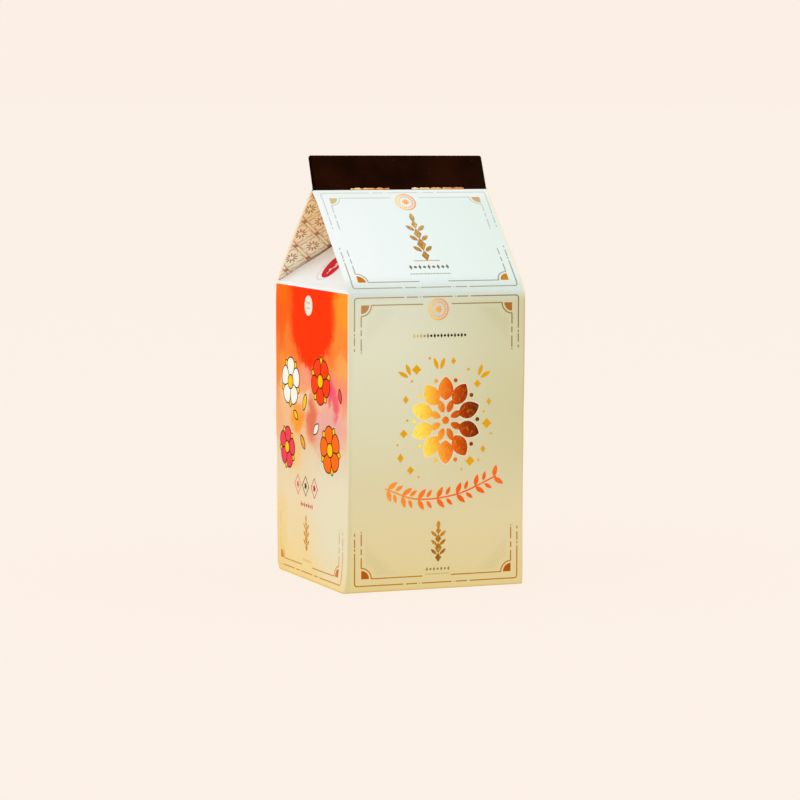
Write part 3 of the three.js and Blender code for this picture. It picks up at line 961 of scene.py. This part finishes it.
# The rosette's tint, the foil's reflection painted in: it darkens to the right, later in its lower half
def rosetteTone(middle):
    colours = tint(np.array(rosette["tones"]))
    stops = np.array([-9.0, -5.0, 0.5, 5.0, 10.0, 16.5])

    def tone(places):
        a = places[:, 0] - middle - 0.22 * np.clip(62 - places[:, 1], 0, 14)
        return np.stack([np.interp(a, stops, colours[:, k]) for k in range(3)], -1)

    return tone


# Points and directions along a smooth curve through control places, by Catmull-Rom weights
def alongCurve(control, count):
    c = np.asarray(control, float)
    c = np.concatenate([[2 * c[0] - c[1]], c, [2 * c[-1] - c[-2]]])
    u = np.linspace(0, len(control) - 1, count)
    k = np.minimum(u.astype(int), len(control) - 2)
    t = (u - k)[:, None]
    a, b, d, e = c[k], c[k + 1], c[k + 2], c[k + 3]
    at = 0.5 * (2 * b + (d - a) * t + (2 * a - 5 * b + 4 * d - e) * t**2 + (3 * b - a - 3 * d + e) * t**3)
    way = np.gradient(at, axis=0)
    return at, way / np.linalg.norm(way, axis=-1, keepdims=True)


rosetteLayer, keyLayer = PrintLayer(top=0.06), PrintLayer(top=0.03)
garlandLayer, motifLayer = PrintLayer(top=0.05), PrintLayer(top=0.045)
for middle in frontMiddles:
    tone = rosetteTone(middle)
    centre = np.array([middle + rosette["at"][0], rosette["at"][1]])
    size = np.array([rosette["width"], rosette["height"]])
    outerAngles = np.linspace(0, 2 * np.pi, rosette["outer"], endpoint=False) + np.pi / 2
    outerAt = centre + np.stack([np.cos(outerAngles), np.sin(outerAngles)], -1) * size * 0.71
    outerTurn = np.arctan2(np.sin(outerAngles) * size[1], np.cos(outerAngles) * size[0])
    petals, spots = repeated(almond(8.6, 6.0, 24, 0.75, 0.12), outerAt, outerTurn)
    rosetteLayer.plates(petals, spots, tone, loops=(0.5,))
    petals, spots = repeated(almond(8.6 + 2 * rosette["keyline"], 6.0 + 2 * rosette["keyline"], 24, 0.7, 0.12), outerAt, outerTurn)
    keyLayer.plates(petals, spots, rosette["keyTone"], loops=(0.5,))
    innerAngles = outerAngles[: rosette["inner"]] * 0 + np.linspace(0, 2 * np.pi, rosette["inner"], endpoint=False) + 0.39
    innerAt = centre + np.stack([np.cos(innerAngles), np.sin(innerAngles)], -1) * size * 0.34
    petals, spots = repeated(almond(4.9, 2.5, 20, 0.75, 0.1), innerAt, innerAngles)
    rosetteLayer.plates(petals, spots, tone)
    eye, spots = repeated(lobed(1.5, 8, 0.2, 32), centre)
    rosetteLayer.plates(eye, spots, tone)
    berryAt = centre + np.stack([np.cos(outerAngles + 0.314), np.sin(outerAngles + 0.314)], -1) * size * 0.93
    berries, spots = repeated(lobed(0.75, points=14), berryAt)
    rosetteLayer.plates(berries, spots, tone)

    stem, way = alongCurve(garland["curve"], 45)
    stem = stem + [middle, 0]
    garlandTone = acrossTone(middle, -20, 24, *garland["tones"])
    garlandLayer.ribbons(stem[None], garland["stem"], garlandTone)
    picks = np.linspace(1, 43, garland["leaves"]).astype(int)
    heading = np.arctan2(way[picks, 1], way[picks, 0])
    for sign in (-1, 1):
        turn = heading + sign * 0.95
        at = stem[picks] + np.stack([np.cos(turn), np.sin(turn)], -1) * 2.5
        leaves, spots = repeated(almond(*garland["leaf"], 18, 0.8, 0.2), at, turn, 0.85 + 0.15 * np.cos(picks * 0.9))
        garlandLayer.plates(leaves, spots, garlandTone, lift=0.01)

    for x, y, r in motifs["sparks"]:
        motifLayer.plates(*repeated(spark(r, waist=2.2), (middle + x, y)), motifs["tone"])
    for x, y, r in motifs["lozenges"]:
        motifLayer.plates(*repeated(lobed(r, points=4) * [0.72, 1.0], (middle + x, y)), motifs["tone"])
    for x, y, r in motifs["dots"]:
        motifLayer.plates(*repeated(lobed(r, points=10), (middle + x, y)), motifs["tone"])
    for x, y, turn in motifs["sprigs"]:
        at = np.array([[x - 1.3 * math.sin(turn), y + 1.3 * math.cos(turn)], [x + 1.3 * math.sin(turn), y - 1.3 * math.cos(turn)]]) + [middle, 0]
        motifLayer.plates(*repeated(almond(4.4, 1.5, 16), at, [turn + 0.35, turn - 0.35]), motifs["tone"])
rosetteLayer.lay("rosetteFoil", copperFoil("rosetteCopper", 0.55))
keyLayer.lay("rosetteKeyline", flatInk("keylineInk"))
garlandLayer.lay("garlandFoil", copperFoil("garlandCopper", 0.4))
motifLayer.lay("motifGold", flatInk("motifInk", 0.3))

# Slender finials of crushed foil, and rows of small marks where a pack carries its captions
finial = {
    "front": {"at": (0.65, 10.2, 25.0), "wide": 1.0}, "roof": {"at": (0.5, 124.1, 147.0), "wide": 1.25},
    "side": {"at": (-4.3, 10.5, 23.8), "wide": 0.95},
    "tones": {"front": ((206, 150, 50), (150, 96, 20)), "roof": ((196, 160, 104), (176, 122, 40)), "side": ((222, 168, 60), (206, 140, 30))},
}
finialLayer, captionLayer = PrintLayer(top=0.05), PrintLayer(top=0.04)


# A finial between two heights: lozenges that shrink upwards, with a leaf to each side of every gap and a bud on top
def layFinial(kind, middle):
    a, low, high = finial[kind]["at"]
    wide, tall = finial[kind]["wide"], (high - low) / 15.0
    top, foot = finial["tones"][kind]

    def tone(places):
        share = np.clip((places[:, 1] - low) / (high - low), 0, 1)[:, None]
        return tint(foot) * (1 - share) + tint(top) * share

    centre = middle + a
    levels = np.array([1.4, 5.0, 8.4, 11.4]) * tall + low
    sizes = np.array([1.25, 1.5, 1.3, 1.05])
    shape = lobed(1.0, points=4) * [0.95 * wide, 1.35 * tall]
    finialLayer.plates(*repeated(shape, np.stack([np.full(4, centre), levels], -1), 0.0, sizes), tone)
    gaps = (levels[:-1] + levels[1:]) / 2
    for sign in (-1, 1):
        at = np.stack([np.full(3, centre + sign * 1.75 * wide), gaps + 0.35 * tall], -1)
        finialLayer.plates(*repeated(almond(3.0 * wide, 1.15 * tall, 14), at, np.pi / 2 - sign * 0.85), tone, lift=0.01)
    finialLayer.plates(*repeated(almond(2.9 * tall, 1.5 * wide, 16), (centre, high - 1.4 * tall), np.pi / 2), tone)


# A row of small lozenges and dots, taking turns
def layCaption(middle, start, end, level, size, tone):
    count = int((end - start) / (size * 0.8))
    at = np.stack([np.linspace(start, end, count) + middle, np.full(count, level)], -1)
    captionLayer.plates(*repeated(lobed(size / 2, points=4) * [0.62, 1.15], at[::2]), tone)
    captionLayer.plates(*repeated(lobed(size / 3.2, points=10), at[1::2]), tone)


for middle in frontMiddles:
    layFinial("front", middle)
    layFinial("roof", middle)
    goldToDark = acrossTone(middle, -9.6, 11.0, (222, 188, 100), (208, 172, 92), (50, 47, 38), *[(42, 41, 34)] * 4)
    layCaption(middle, -9.3, 10.8, 92.8, 1.5, goldToDark)
    layCaption(middle, -3.8, 4.8, 7.4, 1.35, (150, 126, 62))
    layCaption(middle, -4.2, 5.1, 5.6, 0.6, (196, 172, 108))
    layCaption(middle, -7.0, 7.4, 120.7, 2.0, (124, 120, 100))
    layCaption(middle, -7.8, 7.6, 117.4, 0.8, (160, 162, 148))
    finialLayer.ribbons(straight((middle - 4.9, 123.75), (middle + 5.3, 123.8))[None], 0.3, (196, 160, 90))
for middle in sideMiddles:
    layFinial("side", middle)
    layCaption(middle, -7.4, 0.4, 6.9, 1.0, (222, 184, 96))
    layCaption(middle, -9.0, 1.9, 27.6, 1.9, (206, 62, 46))
finialLayer.lay("finialFoil", copperFoil("finialCopper", 1.0, 0.35))
captionLayer.lay("captionMarks", flatInk("captionInk"))

# The side panels' almond blossoms in outlined flat colours, their loose petals, a plain white disc and small marks
blossoms = {
    "outline": (44, 18, 14), "outlineWidth": 0.42,
    # centre across and up, radius, turn, petals' colour
    "flowers": ((-18.5, 72.5, 8.8, 0.3, (250, 244, 230)), (10.5, 75.0, 8.4, 0.9, (253, 62, 10)),
                (-22.5, 47.5, 7.6, 0.1, (240, 66, 84)), (19.5, 50.5, 8.6, 0.5, (253, 108, 10))),
    "heart": (252, 198, 4),
    # loose petals: centre, turn, length, colour
    "petals": ((-4.0, 66.0, 1.2, 6.6, (252, 198, 4)), (-6.0, 51.0, 2.2, 6.0, (250, 160, 30)), (6.5, 57.0, 0.7, 6.2, (252, 236, 214)),
               (-13.0, 60.5, 2.6, 5.2, (252, 198, 4)), (28.5, 71.0, 1.9, 5.4, (240, 66, 84))),
    "disc": (-1.9, 102.0, 3.7),
    "marks": ((-12.0, 34.6, (224, 110, 96)), (-4.4, 34.7, (84, 72, 52)), (4.5, 34.8, (206, 36, 40))),
}
petalLayer, outlineLayer, discLayer = PrintLayer(top=0.05), PrintLayer(top=0.06), PrintLayer(top=0.04)
for middle in sideMiddles:
    for x, y, r, turn, colour in blossoms["flowers"]:
        angles = turn + np.arange(5) * 2 * np.pi / 5
        at = np.array([middle + x, y]) + np.stack([np.cos(angles), np.sin(angles)], -1) * r * 0.58
        shapes, spots = repeated(almond(r * 0.92, r * 0.78, 26, 0.55, -0.45), at, angles)
        petalLayer.plates(shapes, spots, colour, loops=(0.5,))
        outlineLayer.ribbons(shapes, blossoms["outlineWidth"], blossoms["outline"], closed=True)
        leaf = almond(r * 0.85, r * 0.5, 22)
        sepals, spots = repeated(leaf, np.array([middle + x, y]) + np.stack([np.cos(angles + 0.63), np.sin(angles + 0.63)], -1) * r * 0.66, angles + 0.63)
        petalLayer.plates(sepals, spots, blossoms["heart"], lift=-0.025, loops=(0.5,))
        outlineLayer.ribbons(sepals, blossoms["outlineWidth"], blossoms["outline"], lift=-0.03, closed=True)
        heart, spots = repeated(lobed(r * 0.3, points=24), (middle + x, y))
        petalLayer.plates(heart, spots, blossoms["heart"], lift=0.08)
        outlineLayer.ribbons(heart, blossoms["outlineWidth"], blossoms["outline"], lift=0.08, closed=True)
    for x, y, turn, length, colour in blossoms["petals"]:
        shapes, spots = repeated(almond(length, length * 0.5, 22), (middle + x, y), turn)
        petalLayer.plates(shapes, spots, colour)
        outlineLayer.ribbons(shapes, blossoms["outlineWidth"], blossoms["outline"], closed=True)
    x, y, r = blossoms["disc"]
    discLayer.plates(*repeated(lobed(r, points=36), (middle + x, y)), (236, 230, 214), loops=(0.5,))
    for level in (0.95, -0.95):
        spots = np.stack([middle + x + np.array([-1.3, 0.0, 1.3]), np.full(3, y + level)], -1)
        discLayer.plates(*repeated(lobed(0.42, points=8), spots), (196, 186, 104), lift=0.01)
    for x, y, colour in blossoms["marks"]:
        diamond, spots = repeated(lobed(1.0, points=4) * [3.3, 3.7], (middle + x, y))
        outlineLayer.ribbons(diamond, 0.42, colour, closed=True)
        outlineLayer.plates(*repeated(lobed(1.3, 5, 0.4, 20), (middle + x, y)), colour)
petalLayer.lay("blossomPetals", flatInk("petalInk"))
outlineLayer.lay("blossomOutlines", flatInk("outlineInk"))
discLayer.lay("sideDisc", flatInk("discInk"))

# A red roundel on each gusset, with a white sprig on it and a thin grey ring round it
roundel = {"at": (-1.7, 12.5), "size": (5.7, 6.2), "skew": 0.35, "ringAt": (-1.4, 12.1), "ring": 7.0,
           "tone": (216, 38, 52), "white": (240, 232, 226), "line": (214, 208, 208)}
roundelLayer = PrintLayer(top=0.05)
for middle in sideMiddles:
    centre = np.array([middle + roundel["at"][0], bodyHeight + roundel["at"][1]])
    oval = lobed(1.0, points=44) * roundel["size"]
    disc, spot = repeated(oval - roundel["skew"] * oval[:, 1:] * [1, 0], centre)
    roundelLayer.plates(disc, spot, roundel["tone"], loops=(0.35, 0.7))
    ring, _ = repeated(lobed(roundel["ring"], points=44), [middle + roundel["ringAt"][0], bodyHeight + roundel["ringAt"][1]])
    roundelLayer.ribbons(ring, 0.28, roundel["line"], closed=True)
    stem, way = alongCurve(((1.6, -4.4), (1.5, -1.5), (2.6, 1.4), (1.9, 4.4)), 15)
    roundelLayer.ribbons((centre + stem)[None], 0.4, roundel["white"], lift=0.03)
    leafAt = centre + stem[[3, 5, 7, 9, 11]] + np.array([[-0.9, 0.3], [0.8, 0.5], [-0.9, 0.5], [0.8, 0.5], [-0.8, 0.6]])
    roundelLayer.plates(*repeated(almond(2.1, 0.75, 14), leafAt, [2.6, 0.6, 2.5, 0.6, 2.4]), roundel["white"], lift=0.03)
roundelLayer.lay("gussetRoundel", flatInk("roundelInk"))

# Two rows of blobby copper glints right above the crease of the fin
glints = {"rows": ((-19.4, -5.0), (5.0, 25.0)), "tones": ((255, 226, 170), (250, 180, 104), (238, 136, 66))}
glintLayer = PrintLayer(top=0.04)
for middle, sign in zip(frontMiddles, (1, -1)):
    for start, end in glints["rows"]:
        x = np.linspace(start, end, int((end - start) / 0.8))
        swing = np.sin(x * 3.1) * np.sin(x * 1.7 + 1)
        tone = acrossTone(middle, start, end, *glints["tones"])
        at = np.stack([middle + x, creaseB + 0.53 + 0.08 * swing], -1)
        shapes, spots = repeated(lobed(1.0, points=12) * [0.66, 0.36], at, 0.0, 0.85 + 0.4 * swing)
        glintLayer.plates(shapes, spots, tone)
glintLayer.lay("finGlints", copperFoil("glintCopper", 0.6, 0.25))

# Light and stage: a white surround, three soft lamps and a pale floor that takes a faint shadow
studio = {
    "surround": 1.04, "surroundTint": (0.965, 1.0, 1.04), "backdrop": (252, 240, 230),
    "lamps": (("keyLamp", (-1.6, -0.6, 1.0), 1.6, 3.6), ("fillLamp", (1.3, -0.9, 0.8), 1.4, 0.6), ("topLamp", (-0.3, -0.2, 1.7), 1.8, 2.0)),
    "floorGlow": 0.9,
}


# A square lamp at a place in metres, turned to the carton's middle
def makeLamp(name, place, size, watts):
    data = bpy.data.lights.new(name, "AREA")
    data.shape, data.size, data.energy = "SQUARE", size, watts
    lamp = bpy.data.objects.new(name, data)
    bpy.context.scene.collection.objects.link(lamp)
    back = np.array(place) - [0, 0, 0.08]
    back = back / np.linalg.norm(back)
    across = np.cross([0, 0, 1], back)
    across = across / np.linalg.norm(across)
    over = np.cross(back, across)
    lamp.matrix_world = Matrix([[across[i], over[i], back[i], place[i]] for i in range(3)] + [[0, 0, 0, 1]])


# A flat disc of rings and spokes for the floor
def makeFloor():
    radii = np.array([0.0, 0.3, 0.8, 2.0, 5.0, 12.0, 25.0])[1:]
    angle = np.linspace(0, 2 * np.pi, 64, endpoint=False)
    ring = np.stack([np.cos(angle), np.sin(angle), 0 * angle], -1)
    points = np.concatenate([[[0, 0, 0]], (radii[:, None, None] * ring).reshape(-1, 3)])
    i = np.arange(64)
    j = (i + 1) % 64
    middle = np.stack([0 * i, 1 + i, 1 + j], -1)
    rest = np.concatenate([np.stack([1 + r * 64 + i, 65 + r * 64 + i, 65 + r * 64 + j, 1 + r * 64 + j], -1) for r in range(len(radii) - 1)])
    mesh = bpy.data.meshes.new("floor")
    mesh.from_pydata(points.tolist(), [], middle.tolist() + rest.tolist())
    floor = bpy.data.objects.new("floor", mesh)
    bpy.context.scene.collection.objects.link(floor)
    paint = Paint("paleFloor")
    grain = paint.noise(paint.objectPlace(), 9.0, 3.0)
    glow = tint(studio["backdrop"])
    colour = paint.mixed(grain, glow * 0.998, glow)
    paint.finish(colour=colour, roughness=1.0, specular=0.0)
    light = paint.add("Emission", None, {0: colour, 1: 1.0})
    mix = paint.add("MixShader", None, {0: studio["floorGlow"], 1: paint.shader.outputs[0], 2: light.outputs[0]})
    paint.tree.links.new(mix.outputs[0], paint.tree.nodes["Material Output"].inputs[0])
    mesh.materials.append(paint.material)


scene = bpy.context.scene
scene.view_settings.view_transform = "Standard"
scene.view_settings.look = "None"
world = bpy.data.worlds.new("surround")
scene.world = world
world.use_nodes = True
tree = world.node_tree
lightOnly = tree.nodes["Background"]
lightOnly.inputs[0].default_value = (*studio["surroundTint"], 1)
lightOnly.inputs[1].default_value = studio["surround"]
seen = tree.nodes.new("ShaderNodeBackground")
seen.inputs[0].default_value = (*tint(studio["backdrop"]), 1)
path = tree.nodes.new("ShaderNodeLightPath")
either = tree.nodes.new("ShaderNodeMixShader")
tree.links.new(path.outputs["Is Camera Ray"], either.inputs[0])
tree.links.new(lightOnly.outputs[0], either.inputs[1])
tree.links.new(seen.outputs[0], either.inputs[2])
tree.links.new(either.outputs[0], tree.nodes["World Output"].inputs[0])
for lamp in studio["lamps"]:
    makeLamp(*lamp)
makeFloor()
print("stage and light set")
